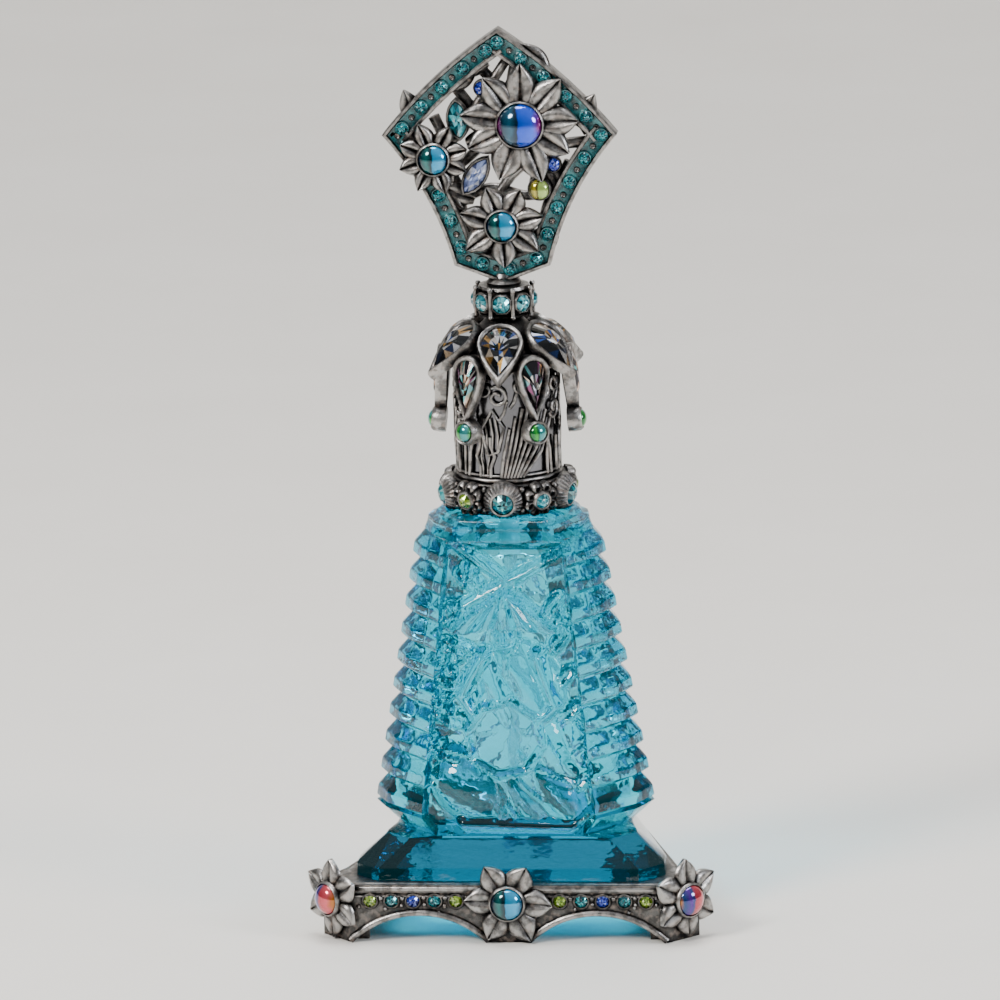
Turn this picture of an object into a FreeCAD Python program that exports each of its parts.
import FreeCAD, Part
import math
import os

# A decorative perfume atomiser: a pressed-glass bottle on a footed metal base, a screw-on fine-mist
# pump on the glass neck, and a lift-off jewelled overcap that hides the pump.
# Millimetres.  +Z is up, the front faces -Y, and the origin is the middle of the footprint.

V = FreeCAD.Vector
X_AXIS, Y_AXIS, Z_AXIS = V(1, 0, 0), V(0, 1, 0), V(0, 0, 1)

# ---- driving dimensions: metal base -------------------------------------------------------------
BASE_HALF_W, BASE_HALF_D, BASE_H = 31.2, 22.0, 11.4
FRONT_RUN, SIDE_RUN = 30.4, 10.0                # half lengths of the straight front and side edges
LOBE_X, LOBE_Y = 35.9, 16.5                     # outer end of the corner facet, which faces 45 degrees
BASE_WALL, BASE_LEDGE_Z, BASE_SEAT_Z, BASE_LEDGE_W = 2.2, 6.8, 8.0, 5.0
RIM_H, RIM_LIP = 1.5, 0.5
ARCH_X, ARCH_RISE, ARCH_HALF_SPAN, SIDE_ARCH_HALF_SPAN = 17.0, 5.5, 13.2, 11.0
BACK_ARCH_X, BACK_ARCH_HALF_SPAN = 9.8, 6.9
NARROW_FROM_Y, NARROW_RATE = -10.0, 0.010       # the plan narrows towards the back from this line on
BACK_CORNER_CUT = 4.5
BASE_STONE_R, BASE_STONE_Z, BASE_STONE_PITCH, STONE_RUN_X, BACK_STONE_X = 1.3, 8.2, 4.1, 18.1, 10.4
FLOWER_Z, CORNER_CAB_R, CENTRE_CAB_R = 8.1, 2.95, 3.05

# ---- driving dimensions: glass bottle -----------------------------------------------------------
PLINTH_HALF_W, PLINTH_HALF_D, PLINTH_CUT = 29.4, 19.6, 4.6
PLINTH_BAND_Z, WAIST_Z, FOOT_BLOCK_Z = 13.9, 18.7, 23.0
WAIST_HALF_W, WAIST_HALF_D = 23.9, 15.6
BODY_HALF_W_LOW, BODY_HALF_W_HIGH = 28.9, 19.2     # before the plan is narrowed
PANEL_SHARE, BEVEL_SHARE = 0.575, 0.845            # of the half width, at the two front corners of the body
BODY_HALF_D_LOW, BODY_HALF_D_HIGH = 16.8, 13.8
RIB_COUNT, RIB_DEPTH, RIB_LEDGE, RIB_TOP_Z = 10, 1.7, 0.3, 76.2
SHOULDER_Z, SHOULDER_HALF_W, SHOULDER_HALF_D, GLASS_TOP_Z = 78.8, 15.9, 13.6, 80.6
CAVITY_WALL, CAVITY_FLOOR_Z = 4.6, 20.5
NECK_R, NECK_BORE_R, NECK_TOP_Z = 5.75, 4.1, 93.0
THREAD_R, THREAD_PITCH, THREAD_TURNS, THREAD_Z = 6.5, 2.1, 1.5, 86.6

# ---- driving dimensions: neck collar ------------------------------------------------------------
COLLAR_IN_R, COLLAR_OUT_R, COLLAR_TOP_Z = 8.05, 10.6, 86.6
ROSETTE_COUNT, ROSETTE_R, ROSETTE_Z = 10, 3.3, 84.0

# ---- driving dimensions: pump -------------------------------------------------------------------
CLOSURE_R, CLOSURE_Z = 7.6, 83.6
GASKET_H, FLANGE_H, WEB_H, RUN_CLEAR = 0.6, 0.8, 0.95, 0.05
HOUSING_R, HOUSING_BORE_R, HOUSING_FLOOR_Z = 3.9, 3.0, 79.6
FLANGE_R, TURRET_R, TURRET_LIP, SOCKET_R, SOCKET_DEPTH = 6.2, 4.4, 1.4, 2.1, 6.4
VALVE_R, VALVE_BORE_R, BALL_R = 1.25, 0.5, 0.85
PISTON_RISE, PISTON_H, PISTON_WAIST_R = 7.0, 3.2, 2.5
SPRING_R, SPRING_WIRE_R, SPRING_TURNS = 2.3, 0.22, 6
STEM_BORE_R, NOZZLE_R, NOZZLE_BORE_R = 0.5, 1.3, 0.2
STEM_R, DIP_TUBE_R, DIP_TUBE_END_Z = 1.6, 1.2, 22.0
ACTUATOR_R, ACTUATOR_Z, ACTUATOR_TOP_Z, NOZZLE_Z = 5.4, 100.4, 107.6, 104.6

# ---- driving dimensions: overcap ----------------------------------------------------------------
LINER_IN_R, LINER_OUT_R, SHELL_R, ROOF_R, ROOF_T = 7.75, 8.55, 9.25, 5.6, 0.8
CAP_Z, CAP_CONE_Z, LINER_TOP_Z, SHELL_TOP_Z = 86.6, 109.0, 113.2, 114.8
SLEEVE_R, SLEEVE_TOP_Z = 10.25, 108.8
CROWN_TOP_Z, CROWN_TOP_R, CROWN_RIM_R, CROWN_SLOPE = 117.4, 2.8, 10.1, 43.5
CROWN_PEAR_W, CROWN_PEAR_L, CROWN_PEAR_T, CROWN_PEAR_IN_R = 9.0, 13.8, 2.2, 4.9
DROP_PEAR_W, DROP_PEAR_L, DROP_PEAR_T, DROP_CUP_R = 6.8, 13.2, 2.4, 2.45
DROP_TOP_Z, DROP_LEAN = 111.6, 5.0
PETAL_FOLD = 6                                                     # crown pears and drops: six of each
RONDELLE_CORE_R, RONDELLE_Z, RONDELLE_TOP_Z, RONDELLE_CUPS = 4.6, 117.4, 123.2, 8
CUP_BACK_R, CUP_FACE_R, CUP_HALF_W, CUP_HALF_H, RONDELLE_STONE_R = 4.2, 5.9, 2.0, 2.2, 1.58
STUD_R, STUD_TIP_R, STUD_HEAD_R, STUD_TOP_Z = 1.25, 0.75, 2.4, 127.0

# ---- driving dimensions: kite-shaped finial, in its own plane (x, z), facing -Y --------------------
KITE_APEX_Z, KITE_WING_X, KITE_WING_Z = 172.5, 22.2, 152.2
KITE_FOOT_X, KITE_FOOT_Z, KITE_POINT_Z = 9.1, 127.1, 123.7
KITE_BULGE, KITE_HOLLOW, KITE_HALF_T, KITE_BAND, KITE_RIM = 1.2, 1.7, 2.0, 4.3, 0.8
CHANNEL_FLOOR_Y, ENAMEL_T, CHANNEL_STONE_R = -0.8, 0.3, 1.1
CHANNEL_STONE_PITCH, CHANNEL_END_STONES = 4.4, 2
KITE_FOOT_R, KITE_FOOT_H = 2.4, 5.4
# name: (x, z, petals, petal reach, first petal's angle, cabochon radius, stand-off from the trellis)
FINIAL_FLOWERS = {
    "large": (4.1, 154.4, 8, 10.9, 23.0, 4.2, 1.5),
    "left": (-12.4, 147.9, 8, 6.6, 13.0, 2.8, 1.75),
    "lower": (0.2, 135.0, 8, 7.8, 32.0, 2.85, 1.5),
}
MARQUISES = {"aqua": (-7.7, 155.3, 8.2, 4.5, 96.0), "blue": (-4.6, 144.5, 9.0, 4.3, 56.0)}
SAPPHIRES = [(-3.0, 161.3, 1.5), (10.1, 146.6, 1.5), (-3.3, 131.1, 1.3)]
OLIVE_X, OLIVE_Z, OLIVE_R = 7.4, 141.9, 2.2
POST_R, TRELLIS_ROD_R, SETTING_BACK_Y = 0.45, 0.75, -0.5


# ---- small shape tools ----------------------------------------------------------------------------
def lathe(points):
    """Solid of revolution about Z from (radius, z) points."""
    wire = Part.makePolygon([V(r, 0, z) for r, z in points + points[:1]])
    return Part.Face(wire).revolve(V(0, 0, 0), Z_AXIS, 360)


def tube(inner_r, outer_r, z0, z1):
    outer = Part.makeCylinder(outer_r, z1 - z0, V(0, 0, z0))
    return outer.cut(Part.makeCylinder(inner_r, z1 - z0, V(0, 0, z0)))


def prism(points, z0, z1):
    wire = Part.makePolygon([V(x, y, z0) for x, y in points + points[:1]])
    return Part.Face(wire).extrude(V(0, 0, z1 - z0))


def polyhedron(points, faces):
    """Closed solid from corner points and flat faces given as index lists."""
    made = []
    for f in faces:
        made.append(Part.Face(Part.makePolygon([points[i] for i in f + f[:1]])))
    shell = Part.makeShell(made)
    shell.sewShape()
    solid = Part.makeSolid(shell)
    if solid.Volume < 0:
        solid.reverse()
    return solid


def cut_stone(outline, crown_h, pavilion_h, table=0.58):
    """Faceted stone on a closed outline of (x, y): table up +Z, girdle at z = 0, culet down.
    Both facet rows keep each edge parallel to the girdle, so every facet is flat."""
    n = len(outline)
    rings = [(table, crown_h), (0.86, crown_h * 0.55), (1.0, 0.0), (0.52, -pavilion_h * 0.62)]
    points, faces = [], []
    for share, z in rings:
        points += [V(x * share, y * share, z) for x, y in outline]
    points.append(V(0, 0, -pavilion_h))
    faces.append(list(range(n)))
    for ring in range(len(rings) - 1):
        a, b = ring * n, (ring + 1) * n
        faces += [[a + i, b + i, b + (i + 1) % n, a + (i + 1) % n] for i in range(n)]
    last = (len(rings) - 1) * n
    faces += [[last + (i + 1) % n, last + i, 4 * n] for i in range(n)]
    return polyhedron(points, faces)


def round_outline(r, n=12):
    return [(r * math.cos(2 * math.pi * i / n), r * math.sin(2 * math.pi * i / n)) for i in range(n)]


def pear_outline(width, length, n=7):
    """Teardrop with its round end towards +Y and its point towards -Y, centred on its own length."""
    r, half = width / 2, length / 2
    centre_y = half - r
    reach = centre_y + half
    turn = math.asin(r / reach) * 0.72                     # the flanks bulge a little past the tangents
    ends = math.pi + 2 * turn
    arc = [(r * math.sin(a), centre_y + r * math.cos(a))
           for a in (ends / 2 - ends * i / (2 * n) for i in range(2 * n + 1))]
    right, left = arc[0], arc[-1]
    flank = 0.5
    bulge = 0.06 * width
    mid = [(right[0] * flank + bulge, right[1] * flank - half * (1 - flank)),
           (left[0] * flank - bulge, left[1] * flank - half * (1 - flank))]
    return arc + [mid[1], (0, -half), mid[0]]


def marquise_outline(length, width, n=6):
    """Pointed oval along X from two circular arcs."""
    half, rise = length / 2, width / 2
    radius = (half * half + rise * rise) / (2 * rise)
    sweep = math.asin(half / radius)
    top = [(radius * math.sin(sweep - 2 * sweep * i / n),
            radius * math.cos(sweep - 2 * sweep * i / n) - radius + rise) for i in range(n)]
    return top + [(-x, -y) for x, y in top]


def scaled(outline, inset):
    """Outline pulled in by about inset on every side."""
    reach = max(math.hypot(x, y) for x, y in outline)
    narrow = max(abs(x) for x, y in outline)
    share_x, share_y = (narrow - inset) / narrow, (reach - 1.35 * inset) / reach
    return [(x * share_x, y * share_y) for x, y in outline]


def cabochon(r, h, base=0.35):
    """Domed stone, flat back at z = 0, with a short straight girdle."""
    ball_r = (r * r + h * h) / (2 * h)
    cap = Part.makeSphere(ball_r, V(0, 0, base + h - ball_r))
    keep = Part.makeCylinder(r, base + h + 1, V(0, 0, 0))
    return cap.common(keep).fuse(Part.makeCylinder(r, base, V(0, 0, 0))).removeSplitter()


def facing(shape, position, direction, spin=0.0):
    """Turns a shape whose front is +Z (and top is +Y) so that its front faces direction, top up."""
    out = V(*direction)
    out.normalize()
    side = Z_AXIS.cross(out)
    if side.Length < 1e-6:
        side = X_AXIS
    side.normalize()
    up = out.cross(side)
    m = FreeCAD.Matrix(side.x, up.x, out.x, position[0], side.y, up.y, out.y, position[1],
                       side.z, up.z, out.z, position[2], 0, 0, 0, 1)
    made = shape.copy()
    if spin:
        made.rotate(V(0, 0, 0), Z_AXIS, spin)
    made.Placement = FreeCAD.Placement(m).multiply(made.Placement)
    return made


def around(shape, count, start=0.0):
    """Copies of a shape evenly spaced about Z."""
    made = []
    for i in range(count):
        one = shape.copy()
        one.rotate(V(0, 0, 0), Z_AXIS, start + 360.0 * i / count)
        made.append(one)
    return made


def petal(root, reach, width, height):
    """Leaf-shaped petal along +X, lying on z = 0, with a raised keel."""
    mid = root + 0.42 * (reach - root)
    half = width / 2
    points = [V(root, -half * 0.45, 0), V(mid, -half, 0), V(reach, 0, 0), V(mid, half, 0),
              V(root, half * 0.45, 0), V(root, 0, height * 0.8), V(mid, 0, height)]
    faces = [[4, 3, 2, 1, 0], [0, 1, 6], [0, 6, 5], [1, 2, 6], [2, 3, 6], [3, 4, 6], [4, 5, 6], [0, 5, 4]]
    return polyhedron(points, faces)


def flower(petals, reach, first, cup_r, petal_w, petal_h=1.1, plate=0.8):
    """Cast flower facing +Z: petals round a cup whose pocket takes a cabochon."""
    body = Part.makeCylinder(cup_r + 0.6, plate + 0.8)
    for i in range(petals):
        leaf = petal(cup_r * 0.6, reach, petal_w, petal_h)
        leaf.translate(V(0, 0, 0.2))
        leaf.rotate(V(0, 0, 0), Z_AXIS, first + 360.0 * i / petals)
        body = body.fuse(leaf)
    return body.cut(Part.makeCylinder(cup_r, 5, V(0, 0, plate)))


def bezel(outline, thickness, floor, inset):
    """Open-topped setting on an outline, facing +Z, with a pocket down to floor."""
    outer = prism(outline, 0, thickness)
    return outer.cut(prism(scaled(outline, inset), floor, thickness + 1))


# ---- metal base -------------------------------------------------------------------------------------
def narrowed(points):
    """Points of a plan, drawn in towards the middle behind NARROW_FROM_Y."""
    return [(x * (1 - NARROW_RATE * max(0.0, y - NARROW_FROM_Y)), y) for x, y in points]


def base_plan(grow=0.0):
    """Closed plan of the base: long front, 45-degree lobes at its ends, sides that close in to the back."""
    w, d, lobe_x = BASE_HALF_W + grow, BASE_HALF_D + grow, LOBE_X + grow
    edges = [Part.makeLine(V(-FRONT_RUN, -d, 0), V(FRONT_RUN, -d, 0))]
    side, corner = narrowed([(w, d - BACK_CORNER_CUT), (w - BACK_CORNER_CUT, d)])
    for s in (-1, 1):
        edges.append(Part.makeLine(V(s * FRONT_RUN, -d, 0), V(s * lobe_x, -LOBE_Y, 0)))
        edges.append(Part.Arc(V(s * lobe_x, -LOBE_Y, 0),
                              V(s * (w + (lobe_x - w) * 0.36), -(SIDE_RUN + LOBE_Y) / 2, 0),
                              V(s * w, -SIDE_RUN, 0)).toShape())
        edges.append(Part.makeLine(V(s * w, -SIDE_RUN, 0), V(s * side[0], side[1], 0)))
        edges.append(Part.makeLine(V(s * side[0], side[1], 0), V(s * corner[0], corner[1], 0)))
    edges.append(Part.makeLine(V(-corner[0], d, 0), V(corner[0], d, 0)))
    return Part.Wire(Part.__sortEdges__(edges))


def plinth_plan(half_w, half_d, cut):
    right = narrowed([(half_w - cut, -half_d), (half_w, -half_d + cut), (half_w, NARROW_FROM_Y),
                      (half_w, half_d - cut), (half_w - cut, half_d)])
    return right + [(-x, y) for x, y in reversed(right)]


def arch_cutter(half_span, y0, y1):
    """Cylinder, lying along Y from y0 to y1, whose crown stands ARCH_RISE above the table."""
    r = (half_span ** 2 + ARCH_RISE ** 2) / (2 * ARCH_RISE)
    return Part.makeCylinder(r, y1 - y0, V(0, y0, ARCH_RISE - r), Y_AXIS)


def base_stone_sites():
    """(x, y), direction and colour of every small stone on the base's four sides."""
    run = ["peridot", "teal", "blue", "teal", "peridot"]
    sites = []
    for s in (-1, 1):
        for i, colour in enumerate(run):
            step = (i - 2) * BASE_STONE_PITCH
            sites.append(((s * STONE_RUN_X + step, -BASE_HALF_D), (0, -1, 0), colour))
            (x, y), = narrowed([(BASE_HALF_W, step)])
            sites.append(((s * x, y), (s, NARROW_RATE * BASE_HALF_W, 0), colour))
        for i, colour in enumerate(("teal", "peridot")):
            sites.append(((s * (BACK_STONE_X + i * BASE_STONE_PITCH), BASE_HALF_D), (0, 1, 0), colour))
    return sites


def make_base():
    body = Part.Face(base_plan()).extrude(V(0, 0, BASE_H))
    rim = Part.Face(base_plan(RIM_LIP)).extrude(V(0, 0, RIM_H))
    rim.translate(V(0, 0, BASE_H - RIM_H))
    body = body.fuse(rim)
    inner_w, inner_d = BASE_HALF_W - BASE_WALL, BASE_HALF_D - BASE_WALL
    body = body.cut(prism(plinth_plan(inner_w, inner_d, BASE_WALL), 0, BASE_LEDGE_Z))
    hole_w, hole_d = inner_w - BASE_LEDGE_W, inner_d - BASE_LEDGE_W
    body = body.cut(prism(plinth_plan(hole_w, hole_d, BASE_WALL), 0, BASE_H))
    seat = prism(plinth_plan(PLINTH_HALF_W + 0.1, PLINTH_HALF_D + 0.1, PLINTH_CUT), BASE_SEAT_Z, BASE_H + 1)
    body = body.cut(seat)
    past = 2 * BASE_HALF_W
    for s in (-1, 1):
        for x, half_span, y0, y1 in ((ARCH_X, ARCH_HALF_SPAN, -past, -inner_d),
                                     (BACK_ARCH_X, BACK_ARCH_HALF_SPAN, inner_d, past)):
            cutter = arch_cutter(half_span, y0, y1)
            cutter.translate(V(s * x, 0, 0))
            body = body.cut(cutter)
    side = arch_cutter(SIDE_ARCH_HALF_SPAN, -past, past)
    side.rotate(V(0, 0, 0), Z_AXIS, 90)
    body = body.cut(side)
    for (x, y), direction, _ in base_stone_sites():
        seat = Part.makeCylinder(BASE_STONE_R + 0.05, 1.2, V(0, 0, -0.8))
        body = body.cut(facing(seat, (x, y, BASE_STONE_Z), direction))
    return body


def make_base_jewels():
    made = {"base_peridot_stones": [], "base_teal_stones": [], "base_blue_stones": []}
    stone = cut_stone(round_outline(BASE_STONE_R, 10), 0.4, 0.75)
    for (x, y), direction, colour in base_stone_sites():
        made[f"base_{colour}_stones"].append(facing(stone, (x, y, BASE_STONE_Z), direction))
    cup_plate = 1.0
    blossom = flower(6, 7.9, 0.0, CENTRE_CAB_R, 4.6, 1.2, cup_plate)
    gem = cabochon(CENTRE_CAB_R - 0.02, 1.9)
    gem.translate(V(0, 0, cup_plate))
    for name, s in (("front", -1), ("back", 1)):
        place = (0, s * (BASE_HALF_D + RIM_LIP), FLOWER_Z)
        made[f"base_{name}_flower"] = [facing(blossom, place, (0, s, 0))]
        made[f"base_{name}_cabochon"] = [facing(gem, place, (0, s, 0))]
    blossom = flower(6, 7.4, 30.0, CORNER_CAB_R, 4.4, 1.2, cup_plate)
    gem = cabochon(CORNER_CAB_R - 0.02, 1.8)
    gem.translate(V(0, 0, cup_plate))
    made["base_corner_flowers"], made["base_corner_cabochons"] = [], []
    centre_x, centre_y = (FRONT_RUN + LOBE_X + RIM_LIP) / 2, (BASE_HALF_D + LOBE_Y + RIM_LIP) / 2
    for s in (-1, 1):
        place = (s * (centre_x + 0.3), -centre_y - 0.3, FLOWER_Z)
        made["base_corner_flowers"].append(facing(blossom, place, (s, -1, 0)))
        made["base_corner_cabochons"].append(facing(gem, place, (s, -1, 0)))
    return made


# ---- glass bottle -----------------------------------------------------------------------------------
def body_plan(half_w, half_d, z):
    """Twelve-cornered plan: broad flat front, two-step bevels, and flanks that close in to the back."""
    quarter = [(PANEL_SHARE * half_w, half_d), (BEVEL_SHARE * half_w, 0.52 * half_d), (half_w, 0.16 * half_d)]
    right = narrowed([(x, -y) for x, y in quarter] + [(x, y) for x, y in reversed(quarter)])
    points = right + [(-x, y) for x, y in reversed(right)]
    return Part.makePolygon([V(x, y, z) for x, y in points + points[:1]])


def rib_sections():
    """(z, half width, half depth) up the ribbed flanks: each rib is a sloping ledge over a riser."""
    pitch = (RIB_TOP_Z - FOOT_BLOCK_Z) / RIB_COUNT
    rows = [(WAIST_Z, WAIST_HALF_W, WAIST_HALF_D), (FOOT_BLOCK_Z, BODY_HALF_W_LOW, BODY_HALF_D_LOW)]
    for i in range(RIB_COUNT):
        low, high = i / RIB_COUNT, (i + 1) / RIB_COUNT
        wide = BODY_HALF_W_LOW + (BODY_HALF_W_HIGH - BODY_HALF_W_LOW) * low
        deep = BODY_HALF_D_LOW + (BODY_HALF_D_HIGH - BODY_HALF_D_LOW) * high
        z = FOOT_BLOCK_Z + pitch * i
        rows.append((z + pitch * (1 - RIB_LEDGE), wide, deep))
        rows.append((z + pitch, wide - RIB_DEPTH, deep))
    rows.append((SHOULDER_Z, SHOULDER_HALF_W, SHOULDER_HALF_D))
    rows.append((GLASS_TOP_Z, SHOULDER_HALF_W - 1.6, SHOULDER_HALF_D - 1.6))
    return rows


def make_glass():
    outer = Part.makeLoft([body_plan(w, d, z) for z, w, d in rib_sections()], True, True)
    band = prism(plinth_plan(PLINTH_HALF_W, PLINTH_HALF_D, PLINTH_CUT), BASE_SEAT_Z, PLINTH_BAND_Z)
    low = plinth_plan(PLINTH_HALF_W, PLINTH_HALF_D, PLINTH_CUT)
    high = plinth_plan(WAIST_HALF_W, WAIST_HALF_D, PLINTH_CUT)
    rings = [Part.makePolygon([V(x, y, z) for x, y in ring + ring[:1]])
             for ring, z in ((low, PLINTH_BAND_Z), (high, WAIST_Z + 0.02))]
    bevel = Part.makeLoft(rings, True, True)
    body = outer.fuse(band).fuse(bevel)
    body = body.fuse(Part.makeCylinder(NECK_R, NECK_TOP_Z - GLASS_TOP_Z + 1, V(0, 0, GLASS_TOP_Z - 1)))
    rows = [(z, w - CAVITY_WALL, d - CAVITY_WALL) for z, w, d in
            ((CAVITY_FLOOR_Z, 25.2, 14.6), (CAVITY_FLOOR_Z + 4.0, 27.5, 16.4), (40.0, 24.5, 15.6),
             (60.0, 20.6, 14.4), (72.0, 16.8, 13.4), (77.0, 11.4, 9.8))]
    cavity = Part.makeLoft([body_plan(w, d, z) for z, w, d in rows], True, True)
    cavity = cavity.fuse(Part.makeCylinder(NECK_BORE_R, NECK_TOP_Z, V(0, 0, 74.0)))
    body = body.cut(cavity)
    return body.fuse(thread(NECK_R - 0.3, THREAD_R, 0.0, outward=True))


def thread(root_r, crest_r, start_turn, outward):
    """One helical ridge of THREAD_TURNS turns, on the neck (outward) or inside the closure."""
    helix = Part.makeHelix(THREAD_PITCH, THREAD_PITCH * THREAD_TURNS, root_r)
    half_root, half_crest = 0.5, 0.16
    section = Part.makePolygon([V(root_r, 0, -half_root), V(crest_r, 0, -half_crest),
                                V(crest_r, 0, half_crest), V(root_r, 0, half_root), V(root_r, 0, -half_root)])
    ridge = Part.Wire(helix).makePipeShell([section], True, True)
    ridge.translate(V(0, 0, THREAD_Z + (0 if outward else THREAD_PITCH / 2)))
    ridge.rotate(V(0, 0, 0), Z_AXIS, start_turn)
    return ridge


# ---- neck collar ------------------------------------------------------------------------------------
def fluted_rosette(r, stone_r):
    """Round setting whose sloping border is cut into flutes."""
    body = lathe([(0, 0), (r, 0), (r, 0.5), (stone_r + 0.35, 1.5), (0, 1.5)])
    notch = Part.makeCylinder(0.16, 3.0, V(stone_r + 0.75, 0, 1.62), V(1, 0, -0.42))
    for cut in around(notch, 20):
        body = body.cut(cut)
    return body.cut(Part.makeCylinder(stone_r + 0.02, 2, V(0, 0, 0.7)))


def blossom_rosette(r, stone_r):
    """Round setting ringed by eight bead-ended petals."""
    body = Part.makeCylinder(stone_r + 0.45, 1.5)
    lobe = Part.makeSphere(0.85, V(r - 0.85, 0, 0.55)).fuse(
        Part.makeBox(r - 0.85 - stone_r, 0.9, 0.9, V(stone_r, -0.45, 0.0)))
    for one in around(lobe, 8, 22.5):
        body = body.fuse(one)
    keep = Part.makeCylinder(r + 0.2, 2.0, V(0, 0, 0))
    return body.common(keep).cut(Part.makeCylinder(stone_r + 0.02, 2, V(0, 0, 0.7)))


def make_collar():
    made = {"collar_band": [tube(COLLAR_IN_R, COLLAR_OUT_R, GLASS_TOP_Z, COLLAR_TOP_Z)],
            "collar_daisies": [], "collar_blossoms": [], "collar_teal_stones": [],
            "collar_peridot_stones": [], "collar_aqua_stones": []}
    daisy, blossom = fluted_rosette(ROSETTE_R, 1.75), blossom_rosette(ROSETTE_R, 1.35)
    big = cut_stone(round_outline(1.7, 12), 0.55, 0.75)
    small = cut_stone(round_outline(1.3, 10), 0.5, 0.75)
    flat = COLLAR_OUT_R + 0.02
    for i in range(ROSETTE_COUNT):
        a = math.radians(-90 + 360.0 * i / ROSETTE_COUNT)
        out = (math.cos(a), math.sin(a), 0)
        place = (flat * out[0], flat * out[1], ROSETTE_Z)
        gem = ((flat + 1.47) * out[0], (flat + 1.47) * out[1], ROSETTE_Z)
        if i % 2 == 0:
            made["collar_daisies"].append(facing(daisy, place, out))
            made["collar_teal_stones"].append(facing(big, gem, out))
        else:
            made["collar_blossoms"].append(facing(blossom, place, out))
            colour = "peridot" if i % 6 == 3 else "aqua"
            made[f"collar_{colour}_stones"].append(facing(small, gem, out))
    return made


# ---- fine-mist pump ---------------------------------------------------------------------------------
def make_pump():
    flange_z = NECK_TOP_Z + GASKET_H
    web_z = flange_z + FLANGE_H + RUN_CLEAR
    turret_top = web_z + WEB_H + 1.2
    floor, lip_z = HOUSING_FLOOR_Z, turret_top - TURRET_LIP
    valve_z, socket_z = floor - 2.8, floor - SOCKET_DEPTH
    gasket = tube(NECK_BORE_R + 0.1, 5.9, NECK_TOP_Z, flange_z)
    housing = lathe([
        (SOCKET_R, socket_z), (SOCKET_R, floor - 2.4), (HOUSING_R, floor - 0.6), (HOUSING_R, flange_z),
        (FLANGE_R, flange_z), (FLANGE_R, flange_z + FLANGE_H), (TURRET_R, flange_z + FLANGE_H),
        (TURRET_R, turret_top), (STEM_R + 0.08, turret_top), (STEM_R + 0.08, lip_z), (HOUSING_BORE_R, lip_z),
        (HOUSING_BORE_R, floor), (VALVE_R, floor), (VALVE_R, floor - 1.6), (VALVE_BORE_R, floor - 2.2),
        (VALVE_BORE_R, valve_z), (DIP_TUBE_R, valve_z), (DIP_TUBE_R, socket_z)])
    closure_top, hole_r, skirt_r = web_z + WEB_H, TURRET_R + 0.15, THREAD_R + 0.2
    closure = lathe([
        (CLOSURE_R, CLOSURE_Z), (CLOSURE_R, closure_top - 0.5), (CLOSURE_R - 0.5, closure_top),
        (hole_r, closure_top), (hole_r, web_z), (skirt_r, web_z), (skirt_r, CLOSURE_Z)])
    closure = closure.fuse(thread(THREAD_R + 0.3, NECK_R + 0.25, 0.0, outward=False))
    dip = tube(0.7, DIP_TUBE_R, DIP_TUBE_END_Z, valve_z)
    ball = Part.makeSphere(BALL_R, V(0, 0, floor - 1.12))
    piston_z, seal_r = floor + PISTON_RISE, HOUSING_BORE_R - RUN_CLEAR
    spring = coil(SPRING_R, SPRING_WIRE_R, floor + 0.25, piston_z - 0.25, SPRING_TURNS)
    piston = lathe([
        (STEM_R, piston_z), (seal_r, piston_z), (seal_r, piston_z + 0.8), (PISTON_WAIST_R, piston_z + 1.2),
        (PISTON_WAIST_R, piston_z + 2.0), (seal_r, piston_z + 2.4), (seal_r, piston_z + PISTON_H),
        (STEM_R, piston_z + PISTON_H)])
    stem_low, stem_top = piston_z - 0.6, NOZZLE_Z - 1.4
    stem = tube(STEM_BORE_R, STEM_R, stem_low, stem_top)
    top = ACTUATOR_TOP_Z
    actuator = lathe([
        (STEM_R, ACTUATOR_Z), (ACTUATOR_R, ACTUATOR_Z), (ACTUATOR_R, top - 0.9),
        (ACTUATOR_R - 0.5, top - 0.2), (3.2, top - 0.55), (0, top - 0.75), (0, NOZZLE_Z + 0.5),
        (STEM_BORE_R, NOZZLE_Z + 0.5), (STEM_BORE_R, stem_top), (STEM_R, stem_top)])
    front = V(0, -ACTUATOR_R - 1, NOZZLE_Z)
    actuator = actuator.cut(Part.makeCylinder(NOZZLE_R, 3, front, Y_AXIS))
    actuator = actuator.cut(Part.makeCylinder(0.4, ACTUATOR_R + 1, front, Y_AXIS))
    insert = Part.makeCylinder(NOZZLE_R, 1.6, V(0, -ACTUATOR_R + 0.35, NOZZLE_Z), Y_AXIS)
    insert = insert.cut(Part.makeCylinder(NOZZLE_BORE_R, 3, front, Y_AXIS))
    return {"neck_gasket": [gasket], "pump_housing": [housing], "pump_closure": [closure], "dip_tube": [dip],
            "inlet_ball": [ball], "pump_spring": [spring], "pump_piston": [piston], "pump_stem": [stem],
            "spray_button": [actuator], "nozzle_insert": [insert]}


def coil(mean_r, wire_r, z0, z1, turns):
    helix = Part.makeHelix((z1 - z0) / turns, z1 - z0, mean_r)
    section = Part.Wire(Part.makeCircle(wire_r, V(mean_r, 0, 0), Y_AXIS))
    made = Part.Wire(helix).makePipeShell([section], True, True)
    made.translate(V(0, 0, z0))
    return made


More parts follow.
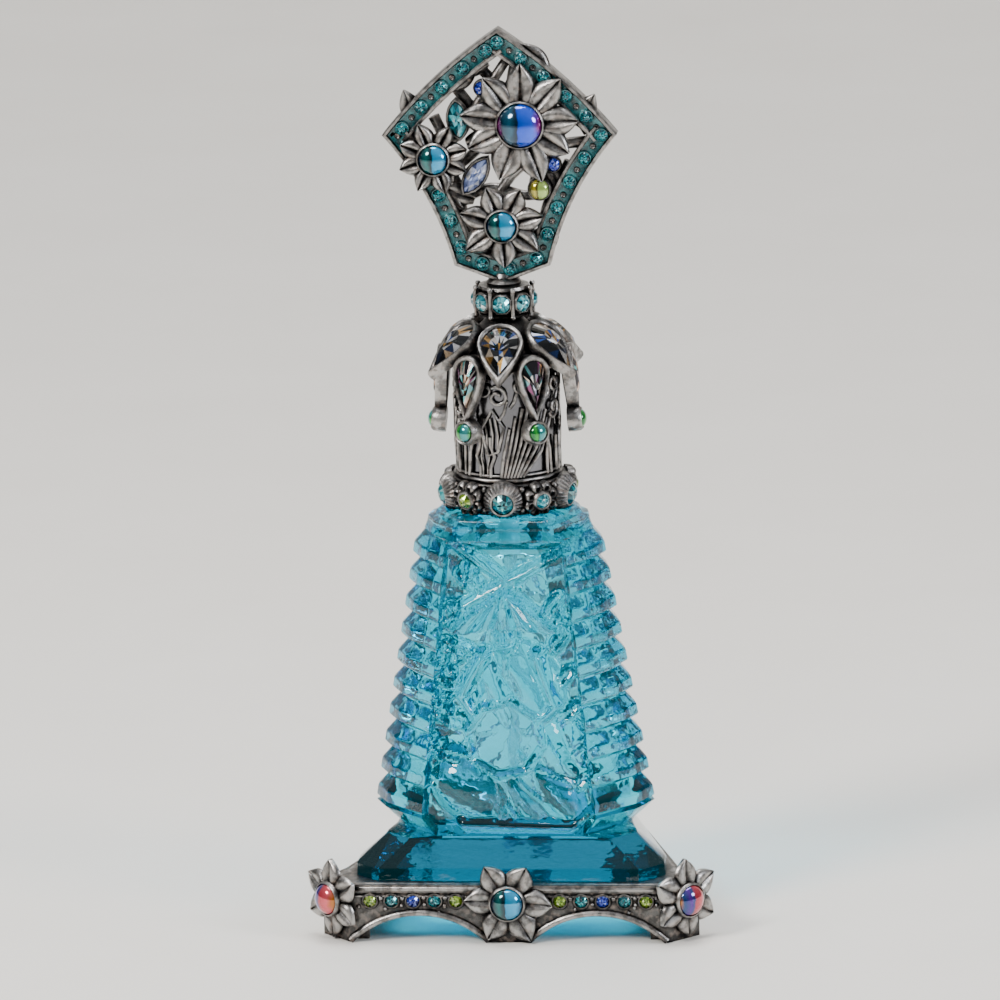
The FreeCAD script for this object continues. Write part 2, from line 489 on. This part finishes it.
# ---- overcap ----------------------------------------------------------------------------------------
def make_cap_core():
    head_z, cone_z = LINER_TOP_Z + 0.8, CAP_CONE_Z - 0.2
    liner = lathe([
        (LINER_IN_R, CAP_Z + 0.6), (LINER_OUT_R, CAP_Z + 0.6), (LINER_OUT_R, cone_z), (ROOF_R, LINER_TOP_Z),
        (0, LINER_TOP_Z), (0, LINER_TOP_Z - ROOF_T), (ROOF_R - 0.4, LINER_TOP_Z - ROOF_T),
        (LINER_IN_R, cone_z - 0.3)])
    nest = [(3.2, SHELL_TOP_Z), (ROOF_R + 0.3, SHELL_TOP_Z - 0.7), (SHELL_R, CAP_CONE_Z + 0.2)]
    shell = lathe([(STUD_R, head_z), (3.0, head_z), (ROOF_R, LINER_TOP_Z), (LINER_OUT_R, cone_z),
                   (LINER_OUT_R, CAP_Z), (SHELL_R, CAP_Z)] + nest[::-1] + [(STUD_R, SHELL_TOP_Z)])
    slope = math.tan(math.radians(CROWN_SLOPE))
    rim_z = CROWN_TOP_Z - (CROWN_RIM_R - CROWN_TOP_R) * slope
    crown = lathe([(STUD_R, SHELL_TOP_Z)] + nest + [
        (SHELL_R + 0.1, rim_z - 0.7), (CROWN_RIM_R, rim_z - 0.5), (CROWN_RIM_R, rim_z),
        (CROWN_TOP_R, CROWN_TOP_Z), (STUD_R, CROWN_TOP_Z)])
    stud = lathe([
        (0, LINER_TOP_Z), (STUD_HEAD_R, LINER_TOP_Z), (STUD_HEAD_R, head_z), (STUD_R, head_z),
        (STUD_R, RONDELLE_TOP_Z), (STUD_TIP_R, RONDELLE_TOP_Z), (STUD_TIP_R, STUD_TOP_Z), (0, STUD_TOP_Z)])
    return {"cap_liner": [liner], "cap_shell": [shell], "crown_cone": [crown], "finial_stud": [stud]}


def make_sleeve():
    """Openwork sleeve round the cap shell: three rows of windows between slim bars."""
    body = tube(SHELL_R, SLEEVE_R, CAP_Z, SLEEVE_TOP_Z)
    columns, rows = 15, 3
    height = (SLEEVE_TOP_Z - CAP_Z - 2.0) / rows
    for row in range(rows):
        window = Part.makeBox(3, 2.7, height - 1.0, V(SHELL_R - 1, -1.35, CAP_Z + 1.0 + row * height + 0.5))
        for one in around(window, columns, 12.0 * row):
            body = body.cut(one)
    return body


def make_crown():
    slope = math.radians(CROWN_SLOPE)
    along, out = (math.cos(slope), -math.sin(slope)), (math.sin(slope), math.cos(slope))
    mid = CROWN_PEAR_IN_R + CROWN_PEAR_L / 2 * along[0]
    back_z = CROWN_TOP_Z - (mid - CROWN_TOP_R) * math.tan(slope) + 0.05
    outline = pear_outline(CROWN_PEAR_W, CROWN_PEAR_L)
    setting = bezel(outline, CROWN_PEAR_T, 0.5, 0.75)
    gem = cut_stone(scaled(outline, 0.8), 1.0, 1.2)
    gem.translate(V(0, 0, CROWN_PEAR_T - 0.3))
    made = {"crown_bezels": [], "crown_crystals": []}
    for i in range(PETAL_FOLD):
        a = math.radians(-90 + 60 * i)
        place = (mid * math.cos(a), mid * math.sin(a), back_z)
        face = (out[0] * math.cos(a), out[0] * math.sin(a), out[1])
        made["crown_bezels"].append(facing(setting, place, face))
        made["crown_crystals"].append(facing(gem, place, face))
    return made


def make_drops():
    outline = pear_outline(DROP_PEAR_W, DROP_PEAR_L)
    cup_y = -DROP_PEAR_L / 2 - DROP_CUP_R + 0.9
    setting = prism(outline, 0, DROP_PEAR_T).fuse(Part.makeCylinder(DROP_CUP_R, DROP_PEAR_T, V(0, cup_y, 0)))
    setting = setting.cut(prism(scaled(outline, 0.85), 0.6, DROP_PEAR_T + 1))
    setting = setting.cut(Part.makeCylinder(DROP_CUP_R - 0.45, 3, V(0, cup_y, DROP_PEAR_T - 0.8)))
    gem = cut_stone(scaled(outline, 0.9), 0.7, 1.2)
    gem.translate(V(0, 0, DROP_PEAR_T - 0.5))
    dot = cabochon(DROP_CUP_R - 0.47, 1.3, 0.5)
    dot.translate(V(0, cup_y, DROP_PEAR_T - 0.8))
    made = {"drop_bezels": [], "drop_crystals": [], "drop_cabochons": []}
    lean = math.radians(DROP_LEAN)
    for i in range(PETAL_FOLD):
        a = math.radians(-60 + 60 * i)
        face = (math.cos(lean) * math.cos(a), math.cos(lean) * math.sin(a), math.sin(lean))
        r = SLEEVE_R + 0.05 + DROP_PEAR_L / 2 * math.sin(lean)
        z = DROP_TOP_Z - DROP_PEAR_L / 2 * math.cos(lean)
        place = (r * math.cos(a), r * math.sin(a), z)
        for name, shape in (("drop_bezels", setting), ("drop_crystals", gem), ("drop_cabochons", dot)):
            made[name].append(facing(shape, place, face))
    return made


def make_rondelle():
    """Ring of square stone cups between two collars, bored for the stud."""
    body = tube(STUD_R, RONDELLE_CORE_R, RONDELLE_Z, RONDELLE_TOP_Z)
    cup = Part.makeBox(CUP_FACE_R - CUP_BACK_R, 2 * CUP_HALF_W, 2 * CUP_HALF_H,
                       V(CUP_BACK_R, -CUP_HALF_W, -CUP_HALF_H))
    cup = cup.cut(Part.makeCylinder(RONDELLE_STONE_R + 0.04, 2, V(CUP_FACE_R - 0.9, 0, 0), X_AXIS))
    mid_z = (RONDELLE_Z + RONDELLE_TOP_Z) / 2
    cup.translate(V(0, 0, mid_z))
    gem = cut_stone(round_outline(RONDELLE_STONE_R, 12), 0.5, 0.85)
    gem_r, gems = CUP_FACE_R - 0.03, []
    for one in around(cup, RONDELLE_CUPS, -90):
        body = body.fuse(one)
    for i in range(RONDELLE_CUPS):
        a = math.radians(-90 + 360 / RONDELLE_CUPS * i)
        out = (math.cos(a), math.sin(a), 0)
        gems.append(facing(gem, (gem_r * out[0], gem_r * out[1], mid_z), out))
    bore = Part.makeCylinder(STUD_R, RONDELLE_TOP_Z - RONDELLE_Z + 2, V(0, 0, RONDELLE_Z - 1))
    return {"rondelle_ring": [body.cut(bore)], "rondelle_stones": gems}


# ---- kite finial ------------------------------------------------------------------------------------
def kite_wire(inset, y):
    """Kite outline in the XZ plane: bulging shoulders, hollow flanks and a shallow pointed foot."""
    def bowed(a, b, bow):
        run = V(b[0] - a[0], 0, b[1] - a[1])
        side = V(run.z, 0, -run.x)
        side.normalize()
        mid = V((a[0] + b[0]) / 2 + side.x * bow, y, (a[1] + b[1]) / 2 + side.z * bow)
        return Part.Arc(V(a[0], y, a[1]), mid, V(b[0], y, b[1])).toShape()

    apex, foot = (0, KITE_APEX_Z), (0, KITE_POINT_Z)
    left, right = (-KITE_WING_X, KITE_WING_Z), (KITE_WING_X, KITE_WING_Z)
    low_left, low_right = (-KITE_FOOT_X, KITE_FOOT_Z), (KITE_FOOT_X, KITE_FOOT_Z)
    corners = [V(x, y, z) for x, z in (low_right, foot, low_left)]
    outline = Part.Wire([bowed(apex, right, -KITE_BULGE), bowed(right, low_right, KITE_HOLLOW),
                         Part.makeLine(corners[0], corners[1]), Part.makeLine(corners[1], corners[2]),
                         bowed(low_left, left, KITE_HOLLOW), bowed(left, apex, -KITE_BULGE)])
    return outline.makeOffset2D(-inset, 2) if inset else outline


def kite_band(outer_inset, inner_inset, y0, y1):
    outer = Part.Face(kite_wire(outer_inset, y0)).extrude(V(0, y1 - y0, 0))
    return outer.cut(Part.Face(kite_wire(inner_inset, y0 - 1)).extrude(V(0, y1 - y0 + 2, 0)))


def channel_sites():
    """(x, z) of the stones along the middle of the kite's channel."""
    sites = []
    for edge in kite_wire(KITE_BAND / 2, 0).Edges:
        n = max(CHANNEL_END_STONES, round(edge.Length / CHANNEL_STONE_PITCH))
        first, span = edge.FirstParameter, edge.LastParameter - edge.FirstParameter
        for i in range(n):
            p = edge.valueAt(first + span * (i + 0.5) / n)
            sites.append((p.x, p.z))
    return sites


def make_finial():
    frame = kite_band(0, KITE_BAND, -KITE_HALF_T, KITE_HALF_T)
    channel = kite_band(KITE_RIM, KITE_BAND - KITE_RIM, -KITE_HALF_T - 1, CHANNEL_FLOOR_Y)
    foot_at = V(0, 0, RONDELLE_TOP_Z)
    foot = Part.makeCylinder(KITE_FOOT_R, KITE_FOOT_H, foot_at)
    socket = Part.makeCylinder(STUD_TIP_R, STUD_TOP_Z - RONDELLE_TOP_Z, foot_at)
    frame = frame.fuse(foot).cut(socket).cut(channel)
    enamel = kite_band(KITE_RIM, KITE_BAND - KITE_RIM, CHANNEL_FLOOR_Y - ENAMEL_T, CHANNEL_FLOOR_Y)
    made = {"finial_frame": [frame], "finial_enamel": [enamel], "finial_channel_stones": []}
    stone = cut_stone(round_outline(CHANNEL_STONE_R, 10), 0.4, 0.7)
    stone_y = CHANNEL_FLOOR_Y - ENAMEL_T - 0.72
    for x, z in channel_sites():
        made["finial_channel_stones"].append(facing(stone, (x, stone_y, z), (0, -1, 0)))
    made["finial_trellis"] = [make_trellis()]
    made.update(make_finial_settings())
    return made


def make_trellis():
    """Vine lattice that fills the kite behind the flowers: crossing rods inside the inner rim."""
    y = SETTING_BACK_Y + 0.05 + TRELLIS_ROD_R
    runs = [((-17.5, 152.0), (0.0, 132.0)), ((-9.0, 161.5), (9.0, 134.0)), ((0.0, 168.0), (16.5, 150.5)),
            ((17.0, 155.5), (-8.5, 133.0)), ((8.0, 162.5), (-13.5, 142.0)), ((-16.0, 155.0), (9.5, 137.0)),
            ((0.0, 168.6), (0.0, 128.7))]
    body = None
    for (x0, z0), (x1, z1) in runs:
        run = V(x1 - x0, 0, z1 - z0)
        rod = Part.makeCylinder(TRELLIS_ROD_R, run.Length, V(x0, y, z0), run)
        body = rod if body is None else body.fuse(rod)
    return body.common(Part.Face(kite_wire(KITE_BAND + 0.01, -3)).extrude(V(0, 6, 0)))


def make_finial_settings():
    made = {}
    back_y = SETTING_BACK_Y
    for name, (x, z, petals, reach, first, cab_r, lift) in FINIAL_FLOWERS.items():
        place = (x, back_y - 0.1 - lift, z)
        blossom = flower(petals, reach, first, cab_r, reach * 0.42, 1.3, 0.8)
        gem = cabochon(cab_r - 0.02, cab_r * 0.62)
        gem.translate(V(0, 0, 0.8))
        blossom = blossom.fuse(Part.makeCylinder(POST_R, lift + 0.1, V(0, 0, -lift)))
        made[f"{name}_flower"] = [facing(blossom, place, (0, -1, 0))]
        made[f"{name}_cabochon"] = [facing(gem, place, (0, -1, 0))]
    made["marquise_settings"] = []
    for name, (x, z, length, width, angle) in MARQUISES.items():
        outline = [(-b, a) for a, b in marquise_outline(length, width)]
        setting = bezel(outline, 1.7, 0.6, 0.55)
        gem = cut_stone(scaled(outline, 0.6), 0.6, 0.95)
        gem.translate(V(0, 0, 1.6))
        place = (x, back_y, z)
        made["marquise_settings"].append(facing(setting, place, (0, -1, 0), angle - 90))
        made[f"marquise_{name}_stone"] = [facing(gem, place, (0, -1, 0), angle - 90)]
    made["sapphire_settings"], made["sapphire_stones"] = [], []
    for x, z, r in SAPPHIRES:
        setting = Part.makeCylinder(r, 1.5).cut(Part.makeCylinder(r - 0.3, 2, V(0, 0, 0.5)))
        gem = cut_stone(round_outline(r - 0.33, 10), 0.4, 0.8)
        gem.translate(V(0, 0, 1.35))
        made["sapphire_settings"].append(facing(setting, (x, back_y, z), (0, -1, 0)))
        made["sapphire_stones"].append(facing(gem, (x, back_y, z), (0, -1, 0)))
    cup = Part.makeCylinder(OLIVE_R, 1.9).cut(Part.makeCylinder(OLIVE_R - 0.35, 2, V(0, 0, 0.9)))
    gem = cabochon(OLIVE_R - 0.37, 1.3)
    gem.translate(V(0, 0, 0.9))
    made["olive_setting"] = [facing(cup, (OLIVE_X, back_y, OLIVE_Z), (0, -1, 0))]
    made["olive_cabochon"] = [facing(gem, (OLIVE_X, back_y, OLIVE_Z), (0, -1, 0))]
    return made


# ---- everything -------------------------------------------------------------------------------------
def build():
    nodes = {"glass_bottle": [make_glass()], "base_frame": [make_base()], "filigree_sleeve": [make_sleeve()]}
    for group in (make_base_jewels(), make_collar(), make_pump(), make_cap_core(), make_crown(), make_drops(),
                  make_rondelle(), make_finial()):
        nodes.update(group)
    return nodes


def main():
    os.makedirs("parts", exist_ok=True)
    for name, shapes in build().items():
        solids = [s for shape in shapes for s in shape.Solids]
        bad = [s for s in solids if not s.isValid() or s.Volume <= 0]
        print(f"{name}: {len(solids)} solids, {sum(s.Volume for s in solids):.1f} mm3, bad {len(bad)}")
        shape = solids[0] if len(solids) == 1 else Part.makeCompound(solids)
        shape.exportStep(f"parts/{name}.step")


main()
